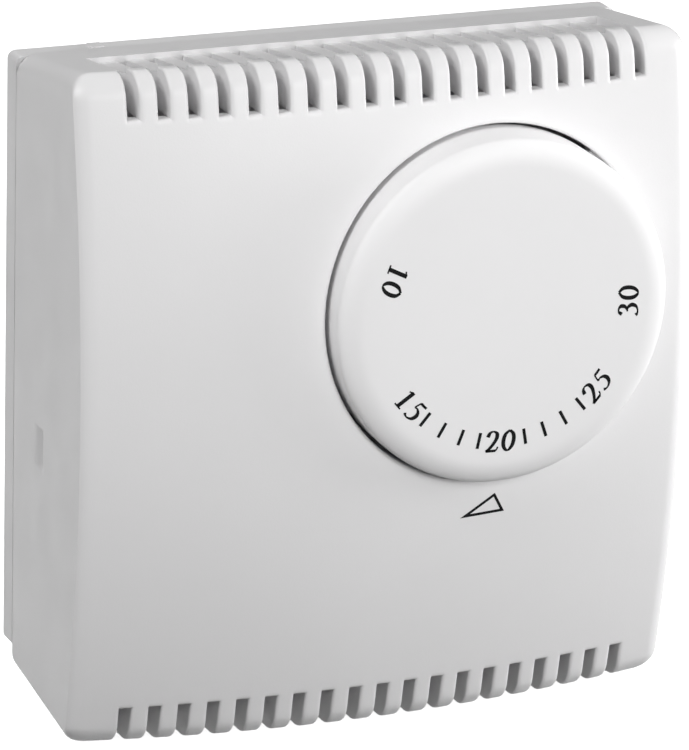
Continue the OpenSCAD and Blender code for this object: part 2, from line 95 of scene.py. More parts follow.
CROWN_R = 194.0       # the face is part of a ball of this radius
WALL = 2.0            # side walls
FACE_WALL = 1.7       # front wall
REAR_HALF_H = 37.4    # half height at the rear edge
SIDE_R = 2.4          # rounding of the left and right front edges
SIDE_ROUND_W = 1.7    # its width: it ends in a crease at the side wall
END_R = 2.5           # rounding of the top and bottom front edges
CORNER_R = 2.6        # outline corners
REAR_R = 0.08         # softening of the rear edge
SLOTS = 19
PITCH = 3.42
SLOT_W = 1.35
SLOT_END = 34.8       # height where the slots end on the face
SLOT_BACK = 10.1      # how far out the slots start
SLOT_R = 0.4          # rounding of the slots' front edges
TOP_SHARE = 0.8       # share of the slots' rounding that is left on the top and bottom walls
POCKET = 0.6          # depth of the recess that the slots stand in
LIP = 1.2             # front lip of that recess
HOLE_GAP = 0.45       # between the dial and its hole
HOLE_R = DIAL_R + HOLE_GAP
HOLE_EDGE_R = 0.5
WELL_BACK = 23.4      # rear end of the well's wall
WELL_WALL = 1.6
WELL_R = HOLE_R + WELL_WALL
HUB_R = 5.2           # the dial's hub, and the hole that it turns in
HUB_HOLE_R = 5.25
DISC_R = 17.5         # disc round the hub's hole
DISC_BACK = 24.4
DISC_FRONT = 26.2
SPOKE_W = 4.0         # spokes that carry the disc, behind the dial's skirt
SPOKE_START = 12.0
SPOKE_END = HOLE_R + 0.3
SPOKE_FRONT = DISC_BACK + 0.2
SKIRT_BACK = SPOKE_FRONT + 0.3                    # rear end of the dial's skirt
BREAK = 0.2           # broken edges of the well, the disc and the skirt
SPOKE_BREAK = 0.15
LATCH_OUT = 12.5      # middle of the latch windows
LATCH_Z = -6.6
WINDOW_W = 1.5
WINDOW_H = 5.1
GROOVE_DEPTH = 1.45   # groove that leads a latch tooth to its window
CUT_REACH = 0.9       # how far before the side wall's inner face the cutters of both start
INNER_W = HALF_W - WALL
FADE = [0.0, 0.02, 0.07, 0.15, 0.26, 0.4, 0.7]    # places of the mesh lines beside a rounded edge
ROW_REACH = 33.2      # between these heights the face has even mesh rows
ROW_COUNT = 66
CLOSE = 1e-3          # places nearer than this count as one

CROWN_CENTRE = CROWN - CROWN_R


def face_out(x, z):
    """Height of the ball-shaped face above the wall."""
    return CROWN_CENTRE + math.sqrt(CROWN_R ** 2 - x * x - z * z)


START_OUT = face_out(0, HALF_H) - END_R
END_SLOPE = (HALF_H - REAR_HALF_H) / (START_OUT - REAR)


def end_height(out):
    """Half height of the sloped top and bottom walls at a distance from the wall."""
    return REAR_HALF_H + END_SLOPE * (out - REAR)


def edge_height(x):
    """Half height where the top wall starts to curl into the face."""
    height = HALF_H
    for _ in range(4):
        height = end_height(face_out(x, height) - END_R)
    return height


def rounding(distance, radius, width=None):
    """How far a rounded edge falls back at a distance. A width below the radius ends in a crease."""
    left = max(0.0, (width or radius) - distance)
    return radius - math.sqrt(radius ** 2 - left ** 2)


# ---------------------------------------------------------------- mesh helpers


class Shell:
    """Collects patches of faces and joins them where they meet."""

    def __init__(self):
        self.points = []
        self.faces = []

    def add(self, rows):
        """Quads between rows of equally many points."""
        start = len(self.points)
        width = len(rows[0])
        for row in rows:
            self.points.extend(row)
        for i in range(len(rows) - 1):
            for j in range(width - 1):
                a = start + i * width + j
                self.faces.append((a, a + 1, a + width + 1, a + width))

    def face(self, loop):
        """One face with any number of corners."""
        start = len(self.points)
        self.points.extend(loop)
        self.faces.append(tuple(range(start, start + len(loop))))

    def fill(self, loop):
        """Triangles inside a flat loop that may bend inwards."""
        start = len(self.points)
        self.points.extend(loop)
        for triangle in tessellate_polygon([[Vector(p) for p in loop]]):
            self.faces.append(tuple(start + i for i in triangle))

    def tube(self, rings):
        """Walls between rings of points, with a face over each end."""
        self.add([ring + ring[:1] for ring in rings])
        self.face(rings[0])
        self.face(rings[-1])

    def build(self, name, weld=0.004, sharp=28.0):
        """The joined object, with points given as (x, out, z) in millimetres."""
        mesh = bpy.data.meshes.new(name)
        mesh.from_pydata([(x * MM, -out * MM, z * MM) for x, out, z in self.points], [], self.faces)
        work = bmesh.new()
        work.from_mesh(mesh)
        bmesh.ops.remove_doubles(work, verts=work.verts, dist=weld * MM)
        bmesh.ops.dissolve_degenerate(work, edges=work.edges, dist=weld * MM / 2)
        bmesh.ops.recalc_face_normals(work, faces=work.faces)
        work.to_mesh(mesh)
        work.free()
        mesh.polygons.foreach_set("use_smooth", [True] * len(mesh.polygons))
        mesh.set_sharp_from_angle(angle=math.radians(sharp))
        thing = bpy.data.objects.new(name, mesh)
        bpy.context.scene.collection.objects.link(thing)
        return thing


def evenly(low, high, steps):
    """Numbers from low to high in equal steps, both ends included."""
    return [low + (high - low) * i / steps for i in range(steps + 1)]


def turned(profile, steps):
    """Rows made by turning a list of (radius, out) points about the dial's axis."""
    rows = []
    for i in range(steps + 1):
        a = 2 * math.pi * (i % steps) / steps
        rows.append([(DIAL_X + r * math.cos(a), out, DIAL_Z + r * math.sin(a)) for r, out in profile])
    return rows


# ---------------------------------------------------------------- the cover

CENTRES = [(i - (SLOTS - 1) / 2) * PITCH for i in range(SLOTS)]
ROW_HALF = CENTRES[-1] + SLOT_W / 2               # half width of the row of slots
CORNER_X = HALF_W - CORNER_R                      # middle of the outline's corners at the front edge
CORNER_Z = edge_height(CORNER_X) - CORNER_R
MIDDLE_ROWS = evenly(-ROW_REACH, ROW_REACH, ROW_COUNT)


def column_places():
    """Places across the cover where the mesh has a line, closer beside the slots."""
    places = set()
    for c in CENTRES:
        for f in FADE:
            places.add(round(c - SLOT_W / 2 - f, 4))
            places.add(round(c + SLOT_W / 2 + f, 4))
    for s in (-1, 1):
        places.add(round(s * (ROW_HALF + 1.6), 4))
        places.add(round(s * CORNER_X, 4))
    return sorted(places)


COLUMNS = column_places()


def in_slot(a, b):
    """True for the space between two neighbouring columns that is a slot."""
    middle = (a + b) / 2
    return any(abs(middle - c) < SLOT_W / 2 for c in CENTRES)


def beside_slots(x):
    """Distance from a column to the nearest slot's edge."""
    return min(max(0.0, abs(x - c) - SLOT_W / 2) for c in CENTRES)


def slot_fall(x, z):
    """How far the face falls back at the slots' rounded edges."""
    below = max(0.0, SLOT_END - abs(z))
    return rounding(math.hypot(beside_slots(x), below), SLOT_R)


def face_rows(x):
    """Heights of the face's mesh lines for one column, from the bottom to the top."""
    top = edge_height(x) - CORNER_R
    outer = [SLOT_END + (top - SLOT_END) * t for t in (0.35, 0.7, 1.0)]
    near = [SLOT_END - f for f in FADE]
    upper = sorted(near + outer)
    return [-v for v in reversed(upper)] + MIDDLE_ROWS + upper


def face_height(x, z):
    """Height of the face above the wall, with the slots' rounded edges."""
    return face_out(x, z) - slot_fall(x, z)


def face_point(x, z):
    """A point of the face, as (x, out, z)."""
    return (x, face_height(x, z), z)


def hole_box():
    """Mesh lines round the dial hole: the patch between them and the hole is turned."""
    reach = HOLE_R + 1.2
    left = max(c for c in COLUMNS if c < DIAL_X - reach)
    right = min(c for c in COLUMNS if c > DIAL_X + reach)
    bottom = max(r for r in MIDDLE_ROWS if r < DIAL_Z - reach)
    top = min(r for r in MIDDLE_ROWS if r > DIAL_Z + reach)
    return left, right, bottom, top


HOLE_BOX = hole_box()


def in_hole_box(x0, x1, z0, z1):
    """True for a piece of the mesh inside the box round the dial's hole."""
    left, right, bottom, top = HOLE_BOX
    across = left - CLOSE < x0 and x1 < right + CLOSE
    return across and bottom - CLOSE < z0 and z1 < top + CLOSE


def hole_outline():
    """The mesh points on the edge of the hole's box, once round."""
    left, right, bottom, top = HOLE_BOX
    across = [x for x in COLUMNS if left - CLOSE < x < right + CLOSE]
    up = [z for z in face_rows(0.0) if bottom - CLOSE < z < top + CLOSE]
    loop = [(x, bottom) for x in across]
    loop += [(right, z) for z in up[1:]]
    loop += [(x, top) for x in reversed(across[:-1])]
    loop += [(left, z) for z in reversed(up[1:-1])]
    return loop + loop[:1]


HOLE_OUTLINE = hole_outline()


def hole_row(radius, share, height):
    """Points between a circle round the dial's axis (share 0) and the hole's box (share 1).
    height gives their distance from the wall."""
    row = []
    for x, z in HOLE_OUTLINE:
        angle = math.atan2(z - DIAL_Z, x - DIAL_X)
        on_circle_x = DIAL_X + radius * math.cos(angle)
        on_circle_z = DIAL_Z + radius * math.sin(angle)
        px = on_circle_x + (x - on_circle_x) * share
        pz = on_circle_z + (z - on_circle_z) * share
        row.append((px, height(px, pz), pz))
    return row


def ring_weight(angle):
    """0 on the side walls and 1 on the top and bottom walls, for the corner between them."""
    return math.sin(angle) ** 2


def ring_stations():
    """Once round the outline: (kind, sign x, sign z, place or angle)."""
    rows = face_rows(CORNER_X)
    arc = [math.radians(a) for a in evenly(0, 90, 8)]
    stations = [("end", 0, 1, x) for x in COLUMNS]
    stations += [("corner", 1, 1, a) for a in reversed(arc[1:-1])]
    stations += [("side", 1, 0, z) for z in reversed(rows)]
    stations += [("corner", 1, -1, a) for a in arc[1:-1]]
    stations += [("end", 0, -1, x) for x in reversed(COLUMNS)]
    stations += [("corner", -1, -1, a) for a in reversed(arc[1:-1])]
    stations += [("side", -1, 0, z) for z in rows]
    stations += [("corner", -1, 1, a) for a in arc[1:-1]]
    return stations + stations[:1]


def front_ring(station, inset):
    """A point of the rounded front edge at an inset from the outline."""
    kind, sx, sz, place = station
    if kind == "end":
        weight = 1.0
        x = place
        z = sz * (edge_height(x) - inset)
    elif kind == "side":
        weight = 0.0
        x = sx * (HALF_W - inset)
        z = place
    else:
        weight = ring_weight(place)
        x = sx * (CORNER_X + (CORNER_R - inset) * math.cos(place))
        z = sz * (CORNER_Z + (CORNER_R - inset) * math.sin(place))
    drop = (1 - weight) * rounding(inset, SIDE_R, SIDE_ROUND_W) + weight * rounding(inset, END_R)
    out = face_out(x, z) - drop
    if kind == "end" and abs(place) < ROW_HALF + SLOT_R:
        fall = rounding(beside_slots(x), SLOT_R)
        lean = math.radians(90) * (1 - min(1.0, inset / END_R)) ** 0.6
        out -= fall * math.cos(lean)
        z -= sz * fall * math.sin(lean) * TOP_SHARE
    return (x, out, z)


def wall_point(station, out, recess=0.0):
    """A point of the outer wall behind the front edge."""
    kind, sx, sz, place = station
    corner_z = end_height(out) - CORNER_R
    if kind == "end":
        return (place, out, sz * (end_height(out) - recess))
    if kind == "side":
        return (sx * HALF_W, out, place * corner_z / CORNER_Z)
    x = sx * (CORNER_X + CORNER_R * math.cos(place))
    return (x, out, sz * (corner_z + CORNER_R * math.sin(place)))


def wall_column(station):
    """Points of the outer wall from the front edge's start back to the rear edge.
    The recess that the slots stand in is cut into the top and bottom walls."""
    kind, sx, sz, place = station
    start = front_ring(station, 0.0)[1]
    recessed = kind == "end" and abs(place) < ROW_HALF + FADE[1]
    depth = POCKET if recessed else 0.0
    fall = rounding(beside_slots(place), SLOT_R) * TOP_SHARE if recessed else 0.0
    column = []
    for share in (0.25, 0.6, 1.0):
        column.append(wall_point(station, start - LIP * share, fall * (1 - share)))
    front = start - LIP
    column.append(wall_point(station, front, depth))
    for share in (0.25, 0.5, 0.75, 1.0):
        column.append(wall_point(station, front + (SLOT_BACK - front) * share, depth))
    column.append(wall_point(station, SLOT_BACK))
    for out in (7.5, 4.5, REAR + REAR_R):
        column.append(wall_point(station, out))
    x, out, z = wall_point(station, REAR)
    column.append((x * (1 - REAR_R / HALF_W), out, z * (1 - REAR_R / REAR_HALF_H)))
    return column


INSETS = [CORNER_R * (1 - math.cos(math.radians(a))) for a in evenly(90, 0, 12)]
SLOT_PART = 8         # points of a wall column that lie in front of the slots' rear ends


def face_patch(shell):
    """The ball-shaped face without its slots and the dial's hole."""
    for a, b in zip(COLUMNS, COLUMNS[1:]):
        rows_a = face_rows(a)
        rows_b = face_rows(b)
        slot = in_slot(a, b)
        for i in range(len(rows_a) - 1):
            low = rows_a[i]
            high = rows_a[i + 1]
            if slot and min(abs(low), abs(high)) > SLOT_END - CLOSE:
                continue
            if in_hole_box(a, b, low, high):
                continue
            shell.face([face_point(a, low), face_point(b, rows_b[i]),
                        face_point(b, rows_b[i + 1]), face_point(a, high)])


def hole_patch(shell):
    """The face round the dial's hole, its rounded edge, and the well behind it."""
    rows = []
    for angle in evenly(0, 90, 6):
        inset = HOLE_EDGE_R * (1 - math.cos(math.radians(angle)))
        fall = rounding(inset, HOLE_EDGE_R)
        rows.append(hole_row(HOLE_R + inset, 0.0, lambda x, z, fall=fall: face_out(x, z) - fall))
    for share in (0.06, 0.15, 0.3, 0.5, 0.75, 1.0):
        rows.append(hole_row(HOLE_R + HOLE_EDGE_R, share, face_height))
    shell.add(rows)
    well = [rows[0]]
    for radius, out in ((HOLE_R, WELL_BACK + BREAK), (HOLE_R + BREAK, WELL_BACK),
                        (WELL_R - BREAK, WELL_BACK), (WELL_R, WELL_BACK + BREAK)):
        well.append(hole_row(radius, 0.0, lambda x, z, out=out: out))
    well.append(hole_row(WELL_R, 0.0, inner_out))
    shell.add(well)
    hub_disc(shell)


def bar_section(low, high, back, front, chamfer):
    """Corners of a box with broken edges, cut across: (place across, out)."""
    return [(low, back + chamfer), (low + chamfer, back),
            (high - chamfer, back), (high, back + chamfer),
            (high, front - chamfer), (high - chamfer, front),
            (low + chamfer, front), (low, front - chamfer)]


def hub_disc(shell):
    """The disc that the dial's hub turns in, and the four spokes that carry it."""
    start = [(HUB_HOLE_R, (DISC_FRONT + DISC_BACK) / 2)]
    section = bar_section(HUB_HOLE_R, DISC_R, DISC_BACK, DISC_FRONT, BREAK)
    shell.add(turned(start + section + start, 96))
    section = bar_section(-SPOKE_W / 2, SPOKE_W / 2, WELL_BACK, SPOKE_FRONT, SPOKE_BREAK)
    for degrees in (45, 135, 225, 315):
        a = math.radians(degrees)
        rings = []
        for r in (SPOKE_START, SPOKE_END):
            rings.append([(DIAL_X + r * math.cos(a) - across * math.sin(a), out,
                           DIAL_Z + r * math.sin(a) + across * math.cos(a)) for across, out in section])
        shell.tube(rings)


def inner_out(x, z):
    """Height of the front wall's inner face."""
    return face_out(x, z) - FACE_WALL


INNER_COLUMNS = [-INNER_W] + COLUMNS + [INNER_W]


def inner_patch(shell):
    """The inside of the cover: front wall, side walls and the walls behind the slots."""
    rows = [round(r, 6) for r in [-SLOT_END] + MIDDLE_ROWS + [SLOT_END]]
    for a, b in zip(INNER_COLUMNS, INNER_COLUMNS[1:]):
        for low, high in zip(rows, rows[1:]):
            if in_hole_box(a, b, low, high):
                continue
            shell.face([(a, inner_out(a, low), low), (a, inner_out(a, high), high),
                        (b, inner_out(b, high), high), (b, inner_out(b, low), low)])
        for s in (-1, 1):
            z = s * SLOT_END
            if not in_slot(a, b):
                shell.face([(a, inner_out(a, z), z), (b, inner_out(b, z), z),
                            (b, SLOT_BACK, z), (a, SLOT_BACK, z)])
            shell.face([(a, SLOT_BACK, z), (b, SLOT_BACK, z), (b, REAR, z), (a, REAR, z)])
    shell.add([hole_row(WELL_R, share, inner_out) for share in (0.0, 0.5, 1.0)])
    for x in (-INNER_W, INNER_W):
        loop = [(x, inner_out(x, z), z) for z in rows]
        loop += [(x, SLOT_BACK, SLOT_END), (x, REAR, SLOT_END)]
        loop += [(x, REAR, -SLOT_END), (x, SLOT_BACK, -SLOT_END)]
        shell.fill(loop)


def slot_walls(shell):
    """The cut faces of the slots: the fins' sides and the slots' two ends."""
    for a, b in zip(COLUMNS, COLUMNS[1:]):
        if not in_slot(a, b):
            continue
        for s in (-1, 1):
            z = s * SLOT_END
            near = [face_point(a, z), face_point(b, z)]
            shell.face([near[0], near[1], (b, inner_out(b, z), z), (a, inner_out(a, z), z)])
            top = [wall_point(("end", 0, s, x), SLOT_BACK) for x in (a, b)]
            step = [wall_point(("end", 0, s, x), SLOT_BACK, POCKET) for x in (a, b)]
            shell.face([top[0], top[1], step[1], step[0]])
            shell.face([step[0], step[1], (b, SLOT_BACK, z), (a, SLOT_BACK, z)])
            for x in (a, b):
                station = ("end", 0, s, x)
                rows = [r for r in face_rows(x) if s * r > SLOT_END - CLOSE]
                loop = [face_point(x, r) for r in sorted(rows, key=abs)]
                loop += [front_ring(station, inset) for inset in INSETS[1:]]
                loop += wall_column(station)[:SLOT_PART]
                loop += [(x, SLOT_BACK, z), (x, inner_out(x, z), z)]
                shell.fill(loop)


def edge_patch(shell):
    """The rounded front edges and the outer walls, once round the outline."""
    stations = ring_stations()
    rear_ring = []
    for a, b in zip(stations, stations[1:]):
        column_a = [front_ring(a, inset) for inset in INSETS] + wall_column(a)
        column_b = [front_ring(b, inset) for inset in INSETS] + wall_column(b)
        slot = a[0] == "end" and b[0] == "end" and in_slot(a[3], b[3])
        first = len(INSETS) + SLOT_PART if slot else 0
        for i in range(first, len(column_a) - 1):
            shell.face([column_a[i], column_b[i], column_b[i + 1], column_a[i + 1]])
        rear_ring.append(column_a[-1])
    return rear_ring


def rear_edge(shell, ring):
    """The narrow rear face between the outer and the inner walls."""
    inner = [(x, REAR, SLOT_END) for x in INNER_COLUMNS]
    inner += [(x, REAR, -SLOT_END) for x in reversed(INNER_COLUMNS)]

    def after(i, loop):
        """Angle of a loop's point past the start of the outer loop, seen from the front and clockwise."""
        here = math.atan2(loop[i][2], loop[i][0])
        return (math.atan2(ring[0][2], ring[0][0]) - here) % (2 * math.pi)

    first = min(range(len(inner)), key=lambda i: after(i, inner))
    inner = inner[first:] + inner[:first]
    inner_loop = inner + inner[:1]
    outer_loop = ring + ring[:1]
    i = 0
    j = 0
    while i < len(ring) or j < len(inner):
        angle_i = after(i + 1, outer_loop) if i + 1 < len(ring) else 2 * math.pi
        angle_j = after(j + 1, inner_loop) if j + 1 < len(inner) else 2 * math.pi
        if j >= len(inner) or (i < len(ring) and angle_i <= angle_j):
            shell.face([outer_loop[i], outer_loop[i + 1], inner_loop[j]])
            i += 1
        else:
            shell.face([outer_loop[i], inner_loop[j + 1], inner_loop[j]])
            j += 1


def window_cutter(side):
    """A round-ended bar that cuts the latch window through a side wall. It widens towards the outside."""
    inner_r = 0.15
    depth = 0.4
    outer_r = WINDOW_W - inner_r
    straight = (WINDOW_H - WINDOW_W) / 2
    rings = []
    for x, radius in ((INNER_W - CUT_REACH, inner_r),
                      (HALF_W - depth, inner_r), (HALF_W + depth, outer_r)):
        ring = []
        for end in (1, -1):
            for degrees in evenly(0, 180, 12):
                a = math.radians(degrees)
                ring.append((side * x, LATCH_OUT + radius * math.cos(a) * end,
                             LATCH_Z + (straight + radius * math.sin(a)) * end))
        rings.append(ring)
    shell = Shell()
    shell.tube(rings)
    return shell.build("window_cutter")


def groove_cutter(side):
    """A box that cuts the groove from the cover's rear edge to the latch window."""
    half = WINDOW_H / 2 - 0.07
    low = LATCH_Z - half
    high = LATCH_Z + half
    end = LATCH_OUT + WINDOW_W / 2 - 0.05
    rings = []
    for x in (INNER_W - CUT_REACH, INNER_W + GROOVE_DEPTH):
        rings.append([(side * x, out, z) for out, z in ((0.0, low), (end, low), (end, high), (0.0, high))])
    shell = Shell()
    shell.tube(rings)
    return shell.build("groove_cutter")


def cut(thing, cutter):
    """Takes the cutter away from the object and deletes the cutter."""
    tool = thing.modifiers.new("cut", "BOOLEAN")
    tool.operation = "DIFFERENCE"
    tool.solver = "MANIFOLD"
    tool.object = cutter
    shaped = thing.evaluated_get(bpy.context.evaluated_depsgraph_get())
    mesh = bpy.data.meshes.new_from_object(shaped)
    thing.modifiers.remove(tool)
    thing.data = mesh
    bpy.data.objects.remove(cutter)


def make_cover():
    """The cover: patches that share their edges, then the latch windows and their grooves cut in."""
    shell = Shell()
    face_patch(shell)
    hole_patch(shell)
    ring = edge_patch(shell)
    slot_walls(shell)
    inner_patch(shell)
    rear_edge(shell, ring)
    cover = shell.build("cover_shell")
    for side in (-1, 1):
        cut(cover, window_cutter(side))
        cut(cover, groove_cutter(side))
    return cover


# ---------------------------------------------------------------- the dial


def make_dial():
    """A flat-faced cup whose rim slopes gently at first and rounds over at the end."""
    rim = 3.0
    drop = 1.5
    wall = 1.7
    inner_r = DIAL_R - wall
    inner_face = DIAL_OUT - wall
    collar_r = HUB_R + 1.85
    groove_r = HUB_R - 0.55
    groove = (23.35, 24.25)           # where the retaining ring sits
    hub_back = 22.75
    bore_r = 3.05
    bore_end = 28.0
    profile = [(0.0, DIAL_OUT)]
    profile += [(r, DIAL_OUT) for r in evenly(4, DIAL_R - rim, 5)]
    for degrees in evenly(90, 0, 14):
        a = math.radians(degrees)
        profile.append((DIAL_R - rim + rim * math.cos(a), DIAL_OUT - drop + drop * math.sin(a)))
    profile += [(DIAL_R, SKIRT_BACK + BREAK), (DIAL_R - BREAK, SKIRT_BACK), (inner_r, SKIRT_BACK)]
    profile += [(inner_r, DIAL_OUT - rim - 0.3), (inner_r - 1.2, inner_face), (collar_r, inner_face)]
    profile += [(collar_r, DISC_FRONT + 0.15), (HUB_R, DISC_FRONT + 0.1)]
    profile += [(HUB_R, groove[1]), (groove_r, groove[1]), (groove_r, groove[0]), (HUB_R, groove[0])]
    profile += [(HUB_R - BREAK, hub_back), (bore_r, hub_back), (bore_r, bore_end), (0.0, bore_end)]
    shell = Shell()
    shell.add(turned(profile, 192))
    return shell.build("dial_knob")


# ---------------------------------------------------------------- printed marks

DIGIT_H = 2.55        # height of the numerals
DIGIT_STEP = 0.78     # distance between numerals, in numeral heights
DIGIT_W = 0.62        # width of a numeral, in numeral heights
SLANT = 0.10          # lean of the numerals
THICK = 0.19          # pen width of upright strokes, in numeral heights
THIN = 0.075          # pen width of level strokes
BAR = 0.12            # pen width of the foot of 2 and the top of 5
MARK_R = 15.0         # circle that the scale is printed on
TICK_L = 1.9
TICK_W = 0.38
INK_T = 0.02

# Strokes of each numeral in a box 1 wide and 1 high: (pen, points of a smooth line). A pen of 0 follows
# the stroke's direction, and any other is a fixed width.
STROKES = {
    "0": [(0, [(0.5, 0.97), (0.2, 0.8), (0.1, 0.5), (0.2, 0.2), (0.5, 0.03), (0.8, 0.2), (0.9, 0.5),
               (0.8, 0.8), (0.5, 0.97)])],
    "1": [(THICK, [(0.5, 0.03), (0.5, 0.97)]),
          (THIN, [(0.18, 0.03), (0.82, 0.03)]),
          (THIN, [(0.5, 0.96), (0.36, 0.9), (0.18, 0.86)])],
    "2": [(0, [(0.08, 0.72), (0.2, 0.9), (0.45, 0.97), (0.74, 0.88), (0.8, 0.68), (0.66, 0.46),
               (0.36, 0.2), (0.06, 0.05)]),
          (BAR, [(0.08, 0.06), (0.5, 0.06), (0.84, 0.06)]),
          (THIN, [(0.82, 0.06), (0.92, 0.14), (0.96, 0.24)])],
    "3": [(0, [(0.12, 0.8), (0.28, 0.94), (0.5, 0.96), (0.72, 0.86), (0.72, 0.68), (0.52, 0.56),
               (0.34, 0.53)]),
          (0, [(0.4, 0.54), (0.66, 0.5), (0.84, 0.32), (0.74, 0.12), (0.45, 0.03), (0.18, 0.05),
               (0.06, 0.12)])],
    "5": [(BAR, [(0.3, 0.92), (0.6, 0.92), (0.88, 0.94)]),
          (THIN, [(0.3, 0.94), (0.24, 0.76), (0.2, 0.6)]),
          (0, [(0.2, 0.6), (0.45, 0.62), (0.72, 0.52), (0.84, 0.34), (0.74, 0.14), (0.45, 0.03),
               (0.2, 0.04), (0.05, 0.1)])],
}

# numeral, and its angle round the dial from straight down, in degrees towards +X
NUMERALS = [("10", -111.0), ("15", -50.6), ("20", -1.2), ("25", 50.0), ("30", 90.7)]
TICKS = [-40.6, -30.6, -20.6, -11.6, 10.3, 19.6, 29.7, 39.4]


def smooth_line(points, steps=8):
    """A Catmull-Rom line through the points."""
    if len(points) == 2:
        return points
    ends = [points[0]] + list(points) + [points[-1]]
    line = []
    for i in range(1, len(ends) - 2):
        p0, p1, p2, p3 = (Vector(p) for p in ends[i - 1:i + 3])
        for k in range(steps):
            t = k / steps
            line.append(0.5 * (2 * p1 + (p2 - p0) * t + (2 * p0 - 5 * p1 + 4 * p2 - p3) * t * t
                               + (3 * p1 - p0 - 3 * p2 + p3) * t ** 3))
    line.append(Vector(points[-1]))
    return [(p[0], p[1]) for p in line]


def ribbon(shell, line, widths, place):
    """A thin raised band of ink along a flat line. place turns a flat point into (x, out, z)."""
    rings = []
    last = len(line) - 1
    for i, (u, v) in enumerate(line):
        before = Vector(line[max(0, i - 1)])
        after = Vector(line[min(last, i + 1)])
        side = (after - before).orthogonal().normalized() * widths[i] / 2
        left = place(u + side[0], v + side[1])
        right = place(u - side[0], v - side[1])
        top = [(p[0], p[1] + INK_T, p[2]) for p in (left, right)]
        rings.append([left, top[0], top[1], right])
    shell.tube(rings)


def pen_widths(line, pen):
    """Width along a stroke: thick where it runs up and thin where it runs level."""
    if pen:
        return [pen] * len(line)
    widths = []
    last = len(line) - 1
    for i in range(len(line)):
        step = Vector(line[min(last, i + 1)]) - Vector(line[max(0, i - 1)])
        upright = abs(step[1]) / max(step.length, 1e-6)
        widths.append(THIN + (THICK - THIN) * upright ** 1.6)
    return widths


def make_scale():
    """Numerals and ticks printed on the dial, their feet towards its rim."""
    shell = Shell()
    for text, degrees in NUMERALS:
        angle = math.radians(degrees)
        along = Vector((math.cos(angle), math.sin(angle)))
        up = Vector((-math.sin(angle), math.cos(angle)))
        centre = Vector((DIAL_X, DIAL_Z)) - up * MARK_R

        for i, digit in enumerate(text):
            offset = (i - (len(text) - 1) / 2) * DIGIT_STEP

            def place(u, v, offset=offset, along=along, up=up, centre=centre):
                v = v - 0.5
                spot = centre + (along * (offset + u + SLANT * v) + up * v) * DIGIT_H
                return (spot[0], DIAL_OUT, spot[1])

            for pen, points in STROKES[digit]:
                line = smooth_line([((u - 0.5) * DIGIT_W, v) for u, v in points])
                ribbon(shell, line, pen_widths(line, pen), place)
    for degrees in TICKS:
        angle = math.radians(degrees)
        out_x = math.sin(angle)
        out_z = -math.cos(angle)
        reach = evenly(MARK_R - TICK_L / 2, MARK_R + TICK_L / 2, 4)
        line = [(DIAL_X + out_x * r, DIAL_Z + out_z * r) for r in reach]
        ribbon(shell, line, [TICK_W] * len(line), lambda x, z: (x, DIAL_OUT, z))
    return shell.build("scale_print", weld=0.0005)


POINTER = [(7.85, -14.43), (12.14, -11.81), (13.49, -14.23)]    # corners on the cover
POINTER_W = 0.33      # width of its outline


def inset_triangle(corners, distance):
    """The triangle inside another at an even distance from its sides."""
    inner = []
    for i in range(3):
        here = Vector(corners[i])
        a = (Vector(corners[i - 1]) - here).normalized()
        b = (Vector(corners[(i + 1) % 3]) - here).normalized()
        half = a.angle(b) / 2
        inner.append(here + (a + b).normalized() * distance / math.sin(half))
    return inner


def make_pointer():
    """Outlined triangle printed on the cover under the dial."""
    shell = Shell()
    inner = inset_triangle(POINTER, POINTER_W)
    rings = []
    for i in range(4):
        start = Vector(POINTER[i % 3])
        start_in = inner[i % 3]
        end = Vector(POINTER[(i + 1) % 3])
        end_in = inner[(i + 1) % 3]
        for t in evenly(0, 1, 8)[:-1] if i < 3 else [0.0]:
            outer_spot = start.lerp(end, t)
            inner_spot = start_in.lerp(end_in, t)
            ring = []
            for (x, z), lift in ((outer_spot, 0), (outer_spot, INK_T),
                                 (inner_spot, INK_T), (inner_spot, 0)):
                ring.append((x, face_out(x, z) + lift, z))
            rings.append(ring + ring[:1])
    shell.add(rings)
    return shell.build("pointer_print", weld=0.0005)


# ---------------------------------------------------------------- materials


def new_material(name):
    """A node material, its tree and its shader."""
    material = bpy.data.materials.new(name)
    material.use_nodes = True
    tree = material.node_tree
    return material, tree, tree.nodes["Principled BSDF"]


def noise(tree, scale, detail=4.0, roughness=0.6, stretch=None):
    """A noise texture in the object's own space, in lumps of 1 / scale metres."""
    place = tree.nodes.new("ShaderNodeTexCoord")
    texture = tree.nodes.new("ShaderNodeTexNoise")
    texture.inputs["Scale"].default_value = scale
    texture.inputs["Detail"].default_value = detail
    texture.inputs["Roughness"].default_value = roughness
    source = place.outputs["Object"]
    if stretch:
        mapping = tree.nodes.new("ShaderNodeMapping")
        mapping.inputs["Scale"].default_value = stretch
        tree.links.new(source, mapping.inputs["Vector"])
        source = mapping.outputs["Vector"]
    tree.links.new(source, texture.inputs["Vector"])
    return texture.outputs["Fac"]


def spread(tree, value, low, high):
    """Maps a 0 to 1 texture onto a range."""
    node = tree.nodes.new("ShaderNodeMapRange")
    node.inputs["From Min"].default_value = 0.3
    node.inputs["From Max"].default_value = 0.7
    node.inputs["To Min"].default_value = low
    node.inputs["To Max"].default_value = high
    tree.links.new(value, node.inputs["Value"])
    return node.outputs["Result"]


def two_tone(tree, value, low, high):
    """A colour that wanders between two tones."""
    ramp = tree.nodes.new("ShaderNodeValToRGB")
    ramp.color_ramp.elements[0].position = 0.35
    ramp.color_ramp.elements[0].color = (*low, 1)
    ramp.color_ramp.elements[1].position = 0.65
    ramp.color_ramp.elements[1].color = (*high, 1)
    tree.links.new(value, ramp.inputs["Fac"])
    return ramp.outputs["Color"]


